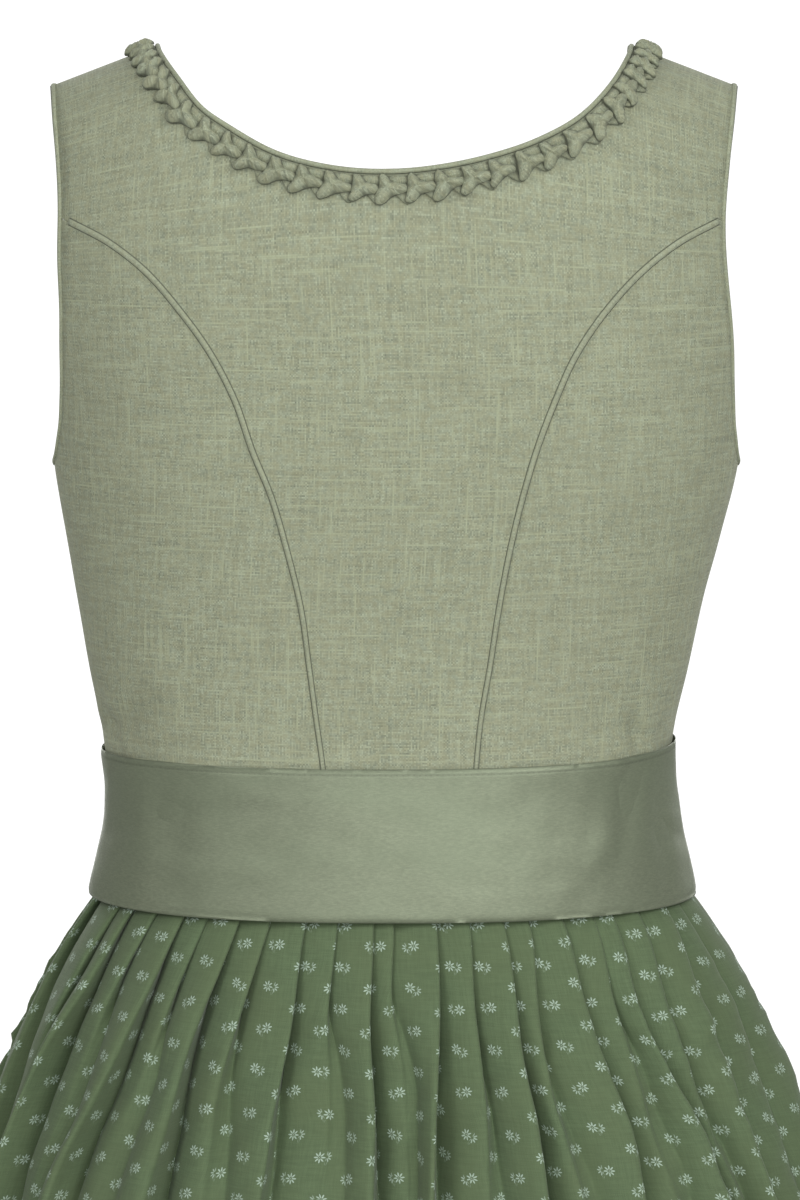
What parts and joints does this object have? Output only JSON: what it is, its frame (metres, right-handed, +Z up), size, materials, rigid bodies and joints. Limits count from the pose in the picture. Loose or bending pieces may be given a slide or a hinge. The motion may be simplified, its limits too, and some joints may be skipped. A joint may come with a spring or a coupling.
{
  "type": "sleeveless dirndl dress",
  "caption": "Sleeveless dirndl dress, filled out as worn: round neck with ruched trim, princess-seamed linen bodice, wide smooth belt and full knife-pleated printed skirt.",
  "frame": {"origin": "midway between the two shoulder seams, at the height of the middle of the straps, where the wearer's shoulders carry the dress", "axes": "+Z up, +X towards the wearer's left, the front faces -Y and the back +Y"},
  "size_m": [0.716, 0.5837, 1.0269],
  "materials": {
    "linen": "sage linen, slubbed plain weave, matt",
    "linen_trim": "sage linen, folded into piping and ruche",
    "sateen": "smooth sage green cloth with a faint satin sheen",
    "printed_cotton": "green cotton with a small pale two-flower print",
    "button_metal": "aged pewter colour, soft satin"
  },
  "bodies": {
    "root": {"back_center": "linen", "back_side_left": "linen", "back_side_right": "linen", "front_left": "linen", "front_right": "linen", "front_side_left": "linen", "front_side_right": "linen", "button_band": "linen", "neck_piping": "linen_trim", "neck_ruche": "linen_trim", "armhole_piping_left": "linen_trim", "armhole_piping_right": "linen_trim", "back_princess_piping_left": "linen_trim", "back_princess_piping_right": "linen_trim", "front_princess_piping_left": "linen_trim", "front_princess_piping_right": "linen_trim", "waist_belt": "sateen", "skirt_back": "printed_cotton", "skirt_front_right": "printed_cotton", "skirt_front_left": "printed_cotton", "button_1": "button_metal", "button_2": "button_metal", "button_3": "button_metal", "button_4": "button_metal", "button_5": "button_metal", "button_6": "button_metal"}
  },
  "joints": []
}
